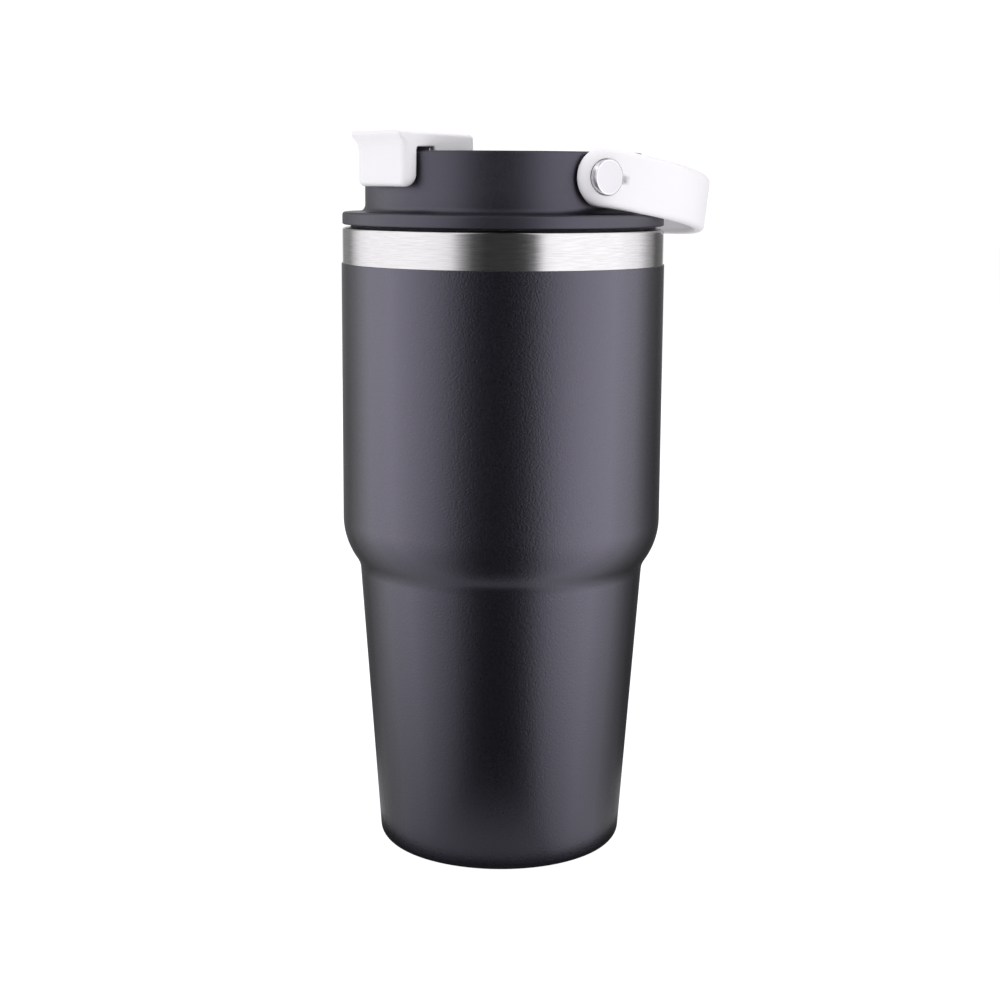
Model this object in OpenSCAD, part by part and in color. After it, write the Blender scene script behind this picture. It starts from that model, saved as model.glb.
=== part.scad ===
// Insulated travel mug with a screw lid, a flip cap and a swinging carry handle.
// Millimetres. +Z is up, the base stands on z = 0, the flip cap faces -Y and
// the handle pivots sit on +X and -X, with the handle folded back towards +Y.

/* [Cup] */
// Radius over the coat where the lower cone meets the base
foot_r = 37.8; // [34:0.1:42]
// Growth of the lower cone's radius for each millimetre of height
cone_slope = 0.069; // [0.03:0.001:0.1]
// Height where the shoulder meets the upper body
shoulder_z = 102.5; // [85:0.5:125]
// Radius of the shoulder's curve, over the coat
shoulder_arc_r = 21.5; // [12:0.5:30]
// Radius over the coat at the foot of the upper body
upper_r = 49.0; // [44:0.1:54]
// Radius of the bare steel band
band_r = 48.5; // [44:0.1:54]
// Height of the coat's straight top edge
coat_top_z = 180.2; // [150:0.1:188]
// Height of the steel lip
lip_z = 190.85; // [170:0.05:210]
// Thickness of the powder coat
coat_t = 0.35; // [0.2:0.05:0.6]
// Wall of the outer steel shell
shell_t = 0.6; // [0.5:0.1:1.2]
// Wall of the inner steel liner
liner_t = 0.6; // [0.5:0.1:1.2]
// Outer radius of the liner in the upper body
liner_r = 45.3; // [40:0.1:46.5]
// Inner radius of the threaded mouth
mouth_r = 45.9; // [43:0.1:46.2]

/* [Lid] */
// Height of the flange's underside
flange_z = 191.7; // [190:0.1:195]
// Height of the flange's top at its edge
flange_top_z = 195.4; // [193:0.1:199]
// Outer radius of the flange
flange_r = 48.5; // [44:0.1:54]
// Outer radius of the lid's neck
neck_r = 41.6; // [36:0.1:45]
// Height of the neck's rim
rim_z = 213.1; // [205:0.1:220]
// Wall of the neck at the rim
rim_t = 3.0; // [2:0.1:5]
// Height of the recess floor inside the rim
floor_z = 201.5; // [200:0.1:204]
// Root radius of the threaded plug
plug_r = 43.1; // [40:0.1:43.4]
// Height of the plug's lower end
plug_z = 172; // [165:0.5:180]
// Rise of the thread for one full turn
thread_lead = 8; // [4:0.5:12]

/* [Handle] */
// Height of the pivots
pivot_z = 206.0; // [203:0.1:208]
// Width of the handle's strap
strap_w = 16.5; // [12:0.1:20]
// Thickness of the handle's strap
strap_t = 3.6; // [2.5:0.1:5]
// Droop of the folded handle below the horizontal, in degrees
droop = 8.1; // [0:0.1:20]
// Radius of each side's long curve
side_arc_r = 66.5; // [50:0.5:90]
// Greatest half width of the handle
side_x = 48.1; // [45:0.1:55]
// Distance behind the pivots of the widest place
side_y = 11.4; // [0:0.1:30]

/* [Flip cap] */
// Half width of the flip cap
flip_w = 12.25; // [8:0.05:18]
// Front face of the hanging tab
tab_y = -45.15; // [-50:0.05:-43.5]
// Height of the tab's lower edge
tab_z = 203.0; // [198:0.1:210]
// Height of the cap's top at the front
flip_top_z = 218.7; // [215:0.1:225]
// Distance in front of the axis of the hinge pin
pin_y = -22.6; // [-26:0.1:-18]
// Height of the hinge pin
pin_z = 210.5; // [208:0.1:212]

/* [Hidden] */
$fn = 96;

// Base and shell
base_fillet_r = 3.0;
foot_inner_r = 31.6;
coat_start = -50;
shoulder_c = upper_r - shoulder_arc_r;
step_z = 88.4;
cone_top_r = foot_r + cone_slope * step_z;
step_angle = acos((cone_top_r - shoulder_c) / shoulder_arc_r);
lip_fillet_r = 0.8;
bottom_plate_z = 2.6;
bottom_plate_t = 0.8;
weld_gap = 0.02;

// Liner
liner_floor_z = 8.8;
liner_foot_r = 34.2;
liner_corner_r = 9;
liner_arc_r = liner_r - shoulder_c;
liner_step_z = 90.2;
mouth_low_z = 166;

// Threads
thread_starts = 2;
mouth_crest_r = 44.5;
plug_crest_r = 45.2;
mouth_thread_z = 173.5;
plug_thread_z = 175.5;
thread_root_half = 0.95;
thread_crest_half = 0.5;
thread_turn = 1.35;
thread_step = 9;

// Lid details
gasket_groove_r = 45.75;
gasket_groove_z = 192.9;
gasket_gap = 0.3;
rim_inner_r = neck_r - rim_t;
floor_t = 2.3;
spout_y = -31.2;
spout_r = 5.8;
spout_bore_r = 4.4;
spout_z = 209.2;
insert_t = 1.8;
insert_rim_h = 2.8;
insert_rim_t = 1.5;
insert_r = 40.85;
skirt_inner_r = 40.9;

// Pivot stack, measured along X from the axis of the mug
pad_x = 41.8;
pad_r = 6.4;
boss_x = 31.5;
boss_r = 5.6;
brass_x = 34.6;
brass_r = 3.2;
brass_bore_r = 2.0;
inner_washer_t = 0.4;
inner_washer_r = 6.2;
eye_inner_x = 42.55;
eye_edge_x = 43.6;
eye_crown = 6.0;
dish_floor_x = 44.9;
dish_r = 5.25;
dish_top_x = 48.5;
notch_x = 47.75;
notch_y = 5.25;
notch_r = 1.5;
outer_washer_x = 45.2;
outer_washer_t = 0.4;
outer_washer_r = 4.9;
shoulder_pin_r = 3.0;
screw_r = 1.97;
screw_tip_x = 35.6;
head_r = 4.2;
head_x = 45.62;
head_t = 1.2;
cap_r = 4.93;
cap_face_x = 47.85;
running_gap = 0.06;
washer_bore_r = 3.05;

// Flip cap details
lip_y = -46.9;
flip_back_y = -20.6;
hinge_front_y = -34.7;
bridge_z = 214.2;
knuckle_low_z = 208.6;
cheek_z = 209.8;
cheek_t = 2.2;
knuckle_r = 2;
knuckle_w = 3;
tab_inner_r = 42.6;
post_r = 3;
stopper_top_z = 212.98;
stopper_low_z = 209.5;
stopper_r = 6.6;
plug_tip_z = 207.7;
plug_tip_r = 3.5;
plug_root_r = 4.05;

// Hinge
pin_r = 1.25;
pin_half = 15.8;
ear_in_x = 12.6;
ear_out_x = 16.0;
ear_r = 2.6;

// Handle curve: two side arcs and one end arc, all tangent
end_angle = 50;
side_c = side_x - side_arc_r;
join_x = side_c + side_arc_r * cos(end_angle);
join_y = side_y + side_arc_r * sin(end_angle);
end_r = join_x / cos(end_angle);
end_c = join_y - end_r * sin(end_angle);
strap_edge = 1.2;
inner_edge = 1.6;
loop_reach = 60;

// Points of an arc in a profile, from angle a0 to a1
function arc(cx, cy, r, a0, a1, n = 8) =
    [for (i = [0 : n]) let (a = a0 + (a1 - a0) * i / n) [cx + r * cos(a), cy + r * sin(a)]];

// Points of a soft corner that starts at p, turns at c and ends at q
function corner(p, c, q, n = 4) =
    [for (i = [0 : n]) let (t = i / n) p * (1 - t) * (1 - t) + c * 2 * t * (1 - t) + q * t * t];

// Radius of the lower cone at height z, set in from the coat by s
function cone_at(z, s) = foot_r + cone_slope * z - s;

// Outline of the cup's outside to height z_end, set in from the coat by s.
// It starts at angle a0 of the foot's fillet, where -90 is the resting plane.
function cup_side(s, z_end, r_end, a0 = -90) = concat(
    arc(foot_r + 0.1 - base_fillet_r, base_fillet_r - coat_t, base_fillet_r - s, a0, -4, 8),
    corner([cone_at(step_z - 1.5, s), step_z - 1.5],
           [cone_at(step_z, s), step_z],
           arc(shoulder_c, shoulder_z, shoulder_arc_r - s, 5 - step_angle, 5 - step_angle, 1)[0], 4),
    arc(shoulder_c, shoulder_z, shoulder_arc_r - s, 8 - step_angle, 0, 10),
    [[r_end, z_end]]);

module spin(points) {
    rotate_extrude() polygon(points);
}

// A straight rod along X from x0 to x1 at the given place
module rod_x(x0, x1, r, y, z) {
    translate([x0, y, z]) rotate([0, 90, 0]) cylinder(h = x1 - x0, r = r);
}

// The same thing on both sides of the mug
module both_sides() {
    children();
    mirror([1, 0, 0]) children();
}

// One helical ridge, from root radius to crest radius
module thread_ridge(root_r, crest_r, root_h, crest_h, z0, a0) {
    count = floor(thread_turn * 360 / thread_step);
    sections = [for (i = [0 : count])
        let (a = a0 + i * thread_step,
             z = z0 + thread_lead * i * thread_step / 360,
             fade = min(1, i / 3, (count - i) / 3),
             r = root_r + (crest_r - root_r) * (0.25 + 0.75 * fade),
             h = 0.35 + 0.65 * fade)
        [[root_r, z - root_h * h, a], [r, z - crest_h * h, a],
         [r, z + crest_h * h, a], [root_r, z + root_h * h, a]]];
    points = [for (s = sections, p = s) [p[0] * cos(p[2]), p[0] * sin(p[2]), p[1]]];
    outward = crest_r > root_r;
    sides = [for (i = [0 : count - 1], k = [0 : 3])
        let (a = 4 * i + k, b = 4 * i + (k + 1) % 4, c = 4 * (i + 1) + (k + 1) % 4, d = 4 * (i + 1) + k)
        outward ? [a, b, c, d] : [d, c, b, a]];
    ends = outward ? [[3, 2, 1, 0], [for (k = [0 : 3]) 4 * count + k]]
                   : [[0, 1, 2, 3], [for (k = [0 : 3]) 4 * count + 3 - k]];
    polyhedron(points, concat(sides, ends), convexity = 8);
}

// ---- Cup ----

module outer_shell() {
    color("silver") spin(concat(
        [[foot_inner_r, 0]],
        cup_side(coat_t, coat_top_z, band_r),
        arc(band_r - lip_fillet_r, lip_z - lip_fillet_r, lip_fillet_r, 0, 90, 5),
        [[mouth_r + liner_t + weld_gap, lip_z], [mouth_r + liner_t + weld_gap, lip_z - shell_t],
         [band_r - shell_t, lip_z - shell_t], [band_r - shell_t, coat_top_z]],
        reversed(cup_side(coat_t + shell_t, shoulder_z + 1, upper_r - coat_t - shell_t)),
        [[foot_inner_r, shell_t]]));
}

function reversed(list) = [for (i = [len(list) - 1 : -1 : 0]) list[i]];

module powder_coat() {
    color([0.09, 0.09, 0.11]) spin(concat(
        cup_side(0, coat_top_z, band_r + coat_t, coat_start),
        reversed(cup_side(coat_t, coat_top_z, band_r, coat_start))));
}

module inner_liner() {
    outside = concat(
        [[0, liner_floor_z - liner_t]],
        arc(liner_foot_r + cone_slope * 15 - liner_corner_r, liner_floor_z - liner_t + liner_corner_r,
            liner_corner_r, -90, -4, 8),
        [[liner_foot_r + cone_slope * liner_step_z, liner_step_z]],
        arc(shoulder_c, shoulder_z, liner_arc_r, -40, 0, 8),
        [[liner_r, mouth_low_z - 4], [mouth_r + liner_t, mouth_low_z], [mouth_r + liner_t, lip_z]]);
    inside = concat(
        [[0, liner_floor_z]],
        arc(liner_foot_r + cone_slope * 15 - liner_corner_r, liner_floor_z - liner_t + liner_corner_r,
            liner_corner_r - liner_t, -90, -4, 8),
        [[liner_foot_r + cone_slope * liner_step_z - liner_t, liner_step_z]],
        arc(shoulder_c, shoulder_z, liner_arc_r - liner_t, -40, 0, 8),
        [[liner_r - liner_t, mouth_low_z - 4], [mouth_r, mouth_low_z], [mouth_r, lip_z - 0.5],
         [mouth_r + 0.3, lip_z]]);
    color("gainsboro") {
        spin(concat(outside, reversed(inside)));
        for (k = [0 : thread_starts - 1])
            thread_ridge(mouth_r + 0.3, mouth_crest_r, thread_root_half, thread_crest_half, mouth_thread_z,
                         k * 180);
    }
}

module shell_bottom() {
    z = bottom_plate_z;
    color("silver") difference() {
        spin([[0, z], [30.2, z], [31.2, shell_t + weld_gap], [35, shell_t + weld_gap],
              [35, shell_t + weld_gap + bottom_plate_t], [31.9, shell_t + weld_gap + bottom_plate_t],
              [30.9, z + bottom_plate_t], [0, z + bottom_plate_t]]);
        translate([0, 0, z - 1]) cylinder(h = 3, r = 1.5);
    }
}

module bottom_cover() {
    color("silver") spin([[0, 1.4], [29.2, 1.4], [29.8, 2.0], [29.8, bottom_plate_z - weld_gap],
                          [28.8, bottom_plate_z - weld_gap], [28.8, 2.0], [0, 2.0]]);
}

module vacuum_seal() {
    color("darkgray") spin([[0, bottom_plate_z], [1.48, bottom_plate_z],
                            [1.48, bottom_plate_z + bottom_plate_t + weld_gap],
                            [2.8, bottom_plate_z + bottom_plate_t + weld_gap], [2.3, 4.2], [0.9, 4.7],
                            [0, 4.7]]);
}

module getter() {
    color("dimgray") translate([0, 14, 5.95]) cylinder(h = 1.95, r = 4.5);
}

module getter_clip() {
    color("gainsboro") translate([0, 14, 0]) {
        translate([-7, -4, 5.5]) cube([14, 8, 0.4]);
        for (x = [-7, 6.6])
            translate([x, -4, 5.5]) cube([0.4, 8, liner_floor_z - liner_t - weld_gap - 5.5]);
    }
}

// ---- Lid ----

module lid_profile() {
    spin(concat(
        [[skirt_inner_r, plug_z], [plug_r - 0.6, plug_z], [plug_r, plug_z + 0.6],
         [plug_r, gasket_groove_z], [gasket_groove_r, gasket_groove_z],
         [gasket_groove_r, flange_z], [flange_r - 0.4, flange_z], [flange_r, flange_z + 0.4]],
        arc(flange_r - 1.2, flange_top_z - 1.2, 1.2, 0, 90, 6),
        corner([neck_r + 1.8, flange_top_z + 0.2], [neck_r, flange_top_z + 0.2], [neck_r, flange_top_z + 2], 5),
        arc(neck_r - 0.6, rim_z - 0.6, 0.6, 0, 90, 4),
        arc(rim_inner_r + 0.6, rim_z - 0.6, 0.6, 90, 180, 4),
        corner([rim_inner_r, floor_z + 1.5], [rim_inner_r, floor_z], [rim_inner_r - 1.5, floor_z], 4),
        [[0, floor_z], [0, floor_z - floor_t], [rim_inner_r - 0.4, floor_z - floor_t],
         [rim_inner_r - 0.4, flange_top_z + 0.6], [skirt_inner_r, flange_top_z - 2.4]]));
}

module hinge_ear() {
    translate([ear_in_x, pin_y - ear_r, floor_z - 1])
        cube([ear_out_x - ear_in_x, 2 * ear_r, pin_z - floor_z + 1]);
    rod_x(ear_in_x, ear_out_x, ear_r, pin_y, pin_z);
}

module lid_shell() {
    color([0.07, 0.07, 0.08]) {
        difference() {
            union() {
                lid_profile();
                translate([0, spout_y, plug_z]) cylinder(h = spout_z - plug_z, r = spout_r);
                both_sides() {
                    rod_x(boss_x, rim_inner_r + 1, boss_r, 0, pivot_z);
                    rod_x(rim_inner_r, pad_x, pad_r, 0, pivot_z);
                    hinge_ear();
                }
            }
            translate([0, spout_y, plug_z - 1]) cylinder(h = spout_z - plug_z + 2, r = spout_bore_r);
            both_sides() rod_x(brass_x, pad_x + 1, brass_r, 0, pivot_z);
            rod_x(-pin_half, pin_half, pin_r, pin_y, pin_z);
        }
        for (k = [0 : thread_starts - 1])
            thread_ridge(plug_r - 0.3, plug_crest_r, thread_root_half, thread_crest_half, plug_thread_z,
                         k * 180);
    }
}

module lid_insert() {
    z = plug_z + 0.4;
    color([0.07, 0.07, 0.08]) difference() {
        spin([[0, z], [insert_r, z], [insert_r, z + insert_rim_h], [insert_r - insert_rim_t, z + insert_rim_h],
              [insert_r - insert_rim_t, z + insert_t], [0, z + insert_t]]);
        translate([0, spout_y, z - 1]) cylinder(h = 4, r = spout_r + 0.05);
    }
}

module lid_gasket() {
    z = lip_z + gasket_gap;
    color([0.04, 0.04, 0.04]) spin([[plug_r + 0.05, z], [46.6, z], [gasket_groove_r - 0.35, z + 0.25],
                                   [gasket_groove_r - 0.35, gasket_groove_z - gasket_gap],
                                   [plug_r + 0.05, gasket_groove_z - gasket_gap]]);
}

// ---- Pivots ----

module pivot_inserts() {
    color("goldenrod") both_sides() difference() {
        rod_x(brass_x, pad_x - 0.1, brass_r, 0, pivot_z);
        rod_x(brass_x - 1, pad_x + 1, brass_bore_r, 0, pivot_z);
    }
}

module pivot_screws() {
    color("silver") both_sides() {
        rod_x(screw_tip_x, pad_x + 0.1, screw_r, 0, pivot_z);
        rod_x(pad_x, head_x, shoulder_pin_r, 0, pivot_z);
        rod_x(head_x, head_x + head_t, head_r, 0, pivot_z);
    }
}

module pivot_caps() {
    color("white") both_sides() difference() {
        union() {
            rod_x(head_x, cap_face_x - 0.3, cap_r, 0, pivot_z);
            translate([cap_face_x - 0.3, 0, pivot_z]) rotate([0, 90, 0])
                cylinder(h = 0.3, r1 = cap_r, r2 = cap_r - 0.3);
        }
        rod_x(head_x - 1, head_x + head_t + 0.02, head_r + 0.02, 0, pivot_z);
    }
}

module washer_x(x, t, r) {
    difference() {
        rod_x(x, x + t, r, 0, pivot_z);
        rod_x(x - 1, x + t + 1, washer_bore_r, 0, pivot_z);
    }
}

module outer_washers() {
    color([0.1, 0.1, 0.1]) both_sides() washer_x(outer_washer_x, outer_washer_t, outer_washer_r);
}

module inner_washers() {
    color([0.1, 0.1, 0.1]) both_sides() washer_x(pad_x + weld_gap, inner_washer_t, inner_washer_r);
}

// ---- Handle ----

// A disc of radius r with both edges cut at 45 degrees by e
module edged_disc(r, half, e) {
    cylinder(h = 2 * half - 2 * e, r = r, center = true);
    translate([0, 0, half - e]) cylinder(h = e, r1 = r, r2 = r - e);
    translate([0, 0, -half]) cylinder(h = e, r1 = r - e, r2 = r);
}

// Space in front of a plane across the handle at distance y behind the pivots
module side_half(y) {
    translate([-loop_reach, -loop_reach, -strap_w]) cube([2 * loop_reach, loop_reach + y, 2 * strap_w]);
}

// Solid bounded by the handle's outside curve, moved in by s
module loop_block(s, half, e) {
    intersection() {
        translate([side_c, side_y, 0]) edged_disc(side_arc_r - s, half, e);
        translate([-side_c, side_y, 0]) edged_disc(side_arc_r - s, half, e);
        side_half(join_y - s * sin(end_angle));
    }
    translate([0, end_c, 0]) edged_disc(end_r - s, half, e);
}

// Room inside the loop, with its edges opened at 45 degrees by e
module loop_room(s, half, e) {
    loop_block(s, half + 5, 0);
    for (side = [-1, 1])
        scale([1, 1, side]) translate([0, 0, half - e]) loop_flare(s, e);
}

module flare_disc(r, e) {
    cylinder(h = e + 0.5, r1 = r, r2 = r + e + 0.5);
}

module loop_flare(s, e) {
    intersection() {
        translate([side_c, side_y, 0]) flare_disc(side_arc_r - s, e);
        translate([-side_c, side_y, 0]) flare_disc(side_arc_r - s, e);
        side_half(join_y - s * sin(end_angle));
    }
    translate([0, end_c, 0]) flare_disc(end_r - s, e);
}

module handle_flat() {
    half = strap_w / 2;
    difference() {
        intersection() {
            loop_block(0, half, strap_edge);
            union() {
                translate([-loop_reach, 0, -half]) cube([2 * loop_reach, 2 * loop_reach, strap_w]);
                rod_x(-eye_edge_x, eye_edge_x, half, 0, 0);
                both_sides() translate([eye_edge_x, 0, 0]) rotate([0, 90, 0])
                    cylinder(h = eye_crown, r1 = half, r2 = 0);
            }
        }
        difference() {
            loop_room(strap_t, half, inner_edge);
            both_sides() rod_x(eye_inner_x, eye_inner_x + 5, half + 1, 0, 0);
        }
        both_sides() {
            rod_x(0, dish_top_x, shoulder_pin_r + running_gap, 0, 0);
            rod_x(0, eye_inner_x, half + 1, 0, 0);
            rod_x(dish_floor_x, dish_top_x, dish_r, 0, 0);
            translate([notch_x, notch_y, 0]) sphere(r = notch_r, $fn = 48);
        }
    }
}

module handle() {
    color([0.94, 0.93, 0.95]) translate([0, 0, pivot_z]) rotate([-droop, 0, 0]) handle_flat();
}

// ---- Flip cap ----

module hinge_pin() {
    color("silver") rod_x(-pin_half, pin_half, pin_r, pin_y, pin_z);
}

// Side outline of the cap's plate and its hanging tab, as [y, z]
function flip_side() = concat(
    [[lip_y, flip_top_z - 0.5], [lip_y + 0.5, flip_top_z], [flip_back_y - 0.8, flip_top_z - 0.7],
     [flip_back_y, flip_top_z - 1.5], [flip_back_y, bridge_z], [tab_y + 5, bridge_z],
     [tab_y + 5, tab_z], [tab_y + 1.2, tab_z], [tab_y, tab_z + 1.2], [tab_y, bridge_z + 0.4]],
    corner([tab_y, bridge_z + 0.4], [tab_y, bridge_z + 2.8], [lip_y + 0.3, bridge_z + 3.3], 4),
    [[lip_y, flip_top_z - 0.9]]);

module flip_cap() {
    color([0.94, 0.93, 0.95]) difference() {
        union() {
            flip_outside();
            flip_inner();
        }
        rod_x(-pin_half - 1, pin_half + 1, pin_r + running_gap, pin_y, pin_z);
    }
}

// Plate over the opening and the tab that hangs in front of the rim
module flip_outside() {
    difference() {
        rotate([90, 0, 90]) linear_extrude(height = 2 * flip_w, center = true) polygon(flip_side());
        cylinder(h = bridge_z, r = tab_inner_r);
    }
}

// Side walls, hinge knuckles and the stopper's post, all inside the rim
module flip_inner() {
    wall_y = flip_back_y - hinge_front_y;
    both_sides() {
        translate([flip_w - cheek_t, hinge_front_y, cheek_z]) cube([cheek_t, wall_y, bridge_z + 1 - cheek_z]);
        translate([flip_w - knuckle_w, pin_y - knuckle_r, knuckle_low_z])
            cube([knuckle_w, 2 * knuckle_r, bridge_z + 1 - knuckle_low_z]);
        rod_x(flip_w - knuckle_w, flip_w, knuckle_r, pin_y, pin_z);
    }
    translate([0, spout_y, stopper_top_z + 0.02]) cylinder(h = bridge_z + 1 - stopper_top_z, r = post_r);
}

module flip_stopper() {
    color([0.85, 0.85, 0.87]) translate([0, spout_y, 0]) {
        translate([0, 0, stopper_low_z]) cylinder(h = stopper_top_z - stopper_low_z, r = stopper_r);
        translate([0, 0, plug_tip_z])
            cylinder(h = stopper_low_z - plug_tip_z, r1 = plug_tip_r, r2 = plug_root_r);
    }
}

outer_shell();
powder_coat();
inner_liner();
shell_bottom();
bottom_cover();
vacuum_seal();
getter();
getter_clip();
lid_shell();
lid_insert();
lid_gasket();
pivot_inserts();
pivot_screws();
pivot_caps();
outer_washers();
inner_washers();
handle();
hinge_pin();
flip_cap();
flip_stopper();
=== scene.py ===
"""Insulated travel mug: visible pieces, materials, studio and camera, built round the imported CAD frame."""

import math

import bmesh
import bpy
from mathutils import Matrix, Vector

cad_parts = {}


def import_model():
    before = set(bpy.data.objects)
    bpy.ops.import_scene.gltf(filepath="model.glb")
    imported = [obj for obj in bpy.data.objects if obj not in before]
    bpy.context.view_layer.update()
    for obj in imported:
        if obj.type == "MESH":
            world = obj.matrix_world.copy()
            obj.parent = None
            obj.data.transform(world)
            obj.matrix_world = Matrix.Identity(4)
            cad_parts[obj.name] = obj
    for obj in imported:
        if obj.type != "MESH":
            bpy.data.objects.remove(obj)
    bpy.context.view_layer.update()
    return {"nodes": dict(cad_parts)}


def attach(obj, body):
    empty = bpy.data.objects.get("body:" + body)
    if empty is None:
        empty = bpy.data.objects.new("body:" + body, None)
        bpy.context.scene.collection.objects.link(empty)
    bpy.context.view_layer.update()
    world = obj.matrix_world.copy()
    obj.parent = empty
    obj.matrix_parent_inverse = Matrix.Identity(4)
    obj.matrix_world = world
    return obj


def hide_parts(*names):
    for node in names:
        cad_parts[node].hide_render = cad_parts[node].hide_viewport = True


MM = 0.001

# Cup. All lengths are in millimetres unless a comment says metres.
FOOT_R = 37.8
CONE_SLOPE = 0.069
FOOT_FILLET = 3.0
COAT_T = 0.35
COAT_START = -50
STEP_Z = 88.4
SHOULDER_Z = 102.5
SHOULDER_R = 21.5
UPPER_R = 49.0
BAND_R = 48.5
COAT_TOP_Z = 180.2
LIP_Z = 190.85
SHELL_T = 0.6
FOOT_INNER_R = 31.6
LINER_R = 45.3
LINER_T = 0.6
LINER_FOOT_R = 34.2
LINER_FLOOR_Z = 8.8
LINER_CORNER = 9.0
LINER_STEP_Z = 90.2
MOUTH_R = 45.9
MOUTH_LOW_Z = 166

# Threads: two starts, the lead, the turns of each ridge and the degrees between its sections
THREAD_STARTS = (0, 180)
THREAD_LEAD = 8.0
THREAD_TURN = 1.35
THREAD_STEP = 3.0
THREAD_HALF = 0.95
THREAD_ROOT = 0.3
THREAD_FADE = 8
MOUTH_CREST_R = 44.5
MOUTH_THREAD_Z = 173.5
PLUG_CREST_R = 45.2
PLUG_THREAD_Z = 175.5

# Lid
FLANGE_Z = 191.7
FLANGE_TOP_Z = 195.4
FLANGE_R = 48.5
FLANGE_EDGE = 0.9
NECK_R = 41.6
RIM_Z = 213.1
RIM_INNER_R = 38.6
FLOOR_Z = 201.5
FLOOR_T = 2.3
PLUG_R = 43.1
PLUG_Z = 172.0
SKIRT_INNER_R = 40.9
GROOVE_R = 45.75
GROOVE_Z = 192.9
SPOUT_Y = -31.2
SPOUT_R = 5.8
SPOUT_BORE = 4.4
SPOUT_Z = 209.2
SPOUT_HOLE_R = 5.1
EAR_R = 2.6
# Each ear's (distance from the middle, inset) sections
EAR_LEVELS = ((12.6, 0.4), (13.0, 0.0), (15.5, 0.0), (16.0, 0.5))
GASKET_OUTER_R = 46.6
GASKET_GAP = 0.3

# Pivots
PIVOT_Z = 206.0
PAD_X = 41.8
PAD_R = 6.4
BOSS_X = 31.5
BOSS_R = 5.6
HEAD_X = 45.62
CAP_X = 47.85
CAP_R = 4.93
SOCKET_R = 4.25
SOCKET_DEPTH = 1.3
WASHER_R = 4.9
WASHER_BORE = 3.05
WASHER_LOW_X = 45.2
WASHER_TOP_X = 45.6
PIN_R = 1.25
PIN_HALF = 15.8

# Handle
SIDE_R = 66.5
SIDE_X = 48.1
SIDE_Y = 11.4
END_ANGLE = 50.0
STRAP_HALF = 8.25
STRAP_T = 3.6
DROOP = 8.1
EYE_INNER_X = 42.55
DISH_X = 44.9
DISH_R = 5.1
DISH_EDGE = 0.3
EYE_BORE = 3.1
EYE_DOME_W = 8.0
EYE_DOME_H = 3.3
# Pry notch beside each pivot: centre across, centre along and radius
NOTCH = (47.75, 5.25, 1.25)
OUTER_ROUND = 1.7
INNER_ROUND = 1.5
EYE_INNER_ROUND = 0.2
# Where the eye's shape fades into the strap, as (start, length) along it
EYE_FADE_OUT = (-6.0, 10.0)
EYE_FADE_IN = (1.0, 8.0)
EYE_FLAT = (7.0, 5.0)
JOIN_S = 11.0
STRAP_COUNT = 64
# Gap closed between neighbouring points of the handle, in metres
WELD = 2e-6

# Flip cap
FLIP_W = 12.25
CHEEK_T = 2.2
TAB_Y = -45.15
LIP_Y = -46.9
TAB_Z = 203.0
FLIP_TOP = 218.7
TAB_PLAN_R = 2.4
LIP_PLAN_R = 0.9
FRONT_Y = -41.5
TAB_CORNER_R = 2.8
TAB_CORNER_Z = 210.0
TOP_CROWN = 0.4
CROWN_REACH = 3.5
LIP_LOW_Z = 213.0
LIP_RISE = 3.5
FLIP_BACK_Y = -20.6
FLIP_BACK_DROP = 0.7
BRIDGE_Z = 214.2
TAB_INNER_R = 42.6
CHEEK_Y = -34.7
CHEEK_Z = 208.4
PIN_Y = -22.6
PIN_Z = 210.5
POST_R = 3.0
STOPPER_R = 6.6
STOPPER_TOP = 212.98
STOPPER_NECK_Z = 209.5
STOPPER_LOW_Z = 207.7

# Painted sheen: the coat's specular level, set to the studio light and raised toward its edges, as (turn away
# from the viewer, specular level)
COAT_SHEEN = (
    (0.0, 0.28), (0.06, 0.33), (0.12, 0.4), (0.29, 0.54), (0.45, 0.48), (0.6, 0.24), (0.74, 0.16),
    (0.84, 0.3), (0.92, 0.7), (1.0, 1.0),
)
# Tint of the shine on the dark coat and the lid
DARK_TINT = (0.83, 0.79, 1.0, 1.0)

# What the mug sees round it, as (azimuth, radiance) with azimuth 0 at the camera and positive to the right
LIGHT_ROUND = (
    (-180, 1.1), (-168, 0.7), (-158, 0.3), (-137, 0.33), (-121, 1.22), (-107, 1.5), (-68, 1.56), (-51, 1.46),
    (-43, 1.42), (-36, 1.25), (-28, 0.46), (-21, 0.12), (-12, 0.05), (8, 0.055), (15, 0.09), (22, 0.25),
    (29, 1.5), (37, 1.64), (49, 1.68), (87, 1.65), (109, 1.3), (122, 0.62), (137, 0.13), (158, 0.22),
    (168, 0.7), (180, 1.1),
)
# Share of that light on the near and the far table, as (distance from the axis in metres, share)
NEAR_SHARE = ((0.044, 0.36), (0.06, 0.38), (0.085, 0.4), (0.12, 0.46), (0.17, 0.56), (0.25, 0.7), (0.33, 0.8))
FAR_SHARE = ((0.33, 0.8), (0.5, 0.9), (0.8, 1.0), (1.3, 1.0))
# A second share for the same two parts of the table, by azimuth
NEAR_SIDES = (
    (-180, 1.0), (-140, 0.5), (-128, 0.55), (-112, 0.86), (-99, 0.93), (-71, 0.97), (-54, 0.88),
    (-40, 0.78), (-25, 0.85), (28, 1.0), (45, 1.18), (60, 1.25), (70, 1.15), (85, 0.92), (99, 0.72),
    (122, 0.5), (140, 0.5), (180, 1.0),
)
FAR_SIDES = (
    (-180, 1.0), (-140, 0.65), (-112, 0.95), (-71, 0.97), (-54, 0.88), (-40, 0.78), (-25, 0.85), (28, 1.0),
    (45, 1.18), (60, 1.25), (70, 1.15), (85, 0.9), (99, 0.76), (122, 0.6), (140, 0.55), (180, 1.0),
)
EVEN_SIDES = ((-180, 1.0), (180, 1.0))
# Height of the table's glow, in metres
GLOW_Z = 0.0004
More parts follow.
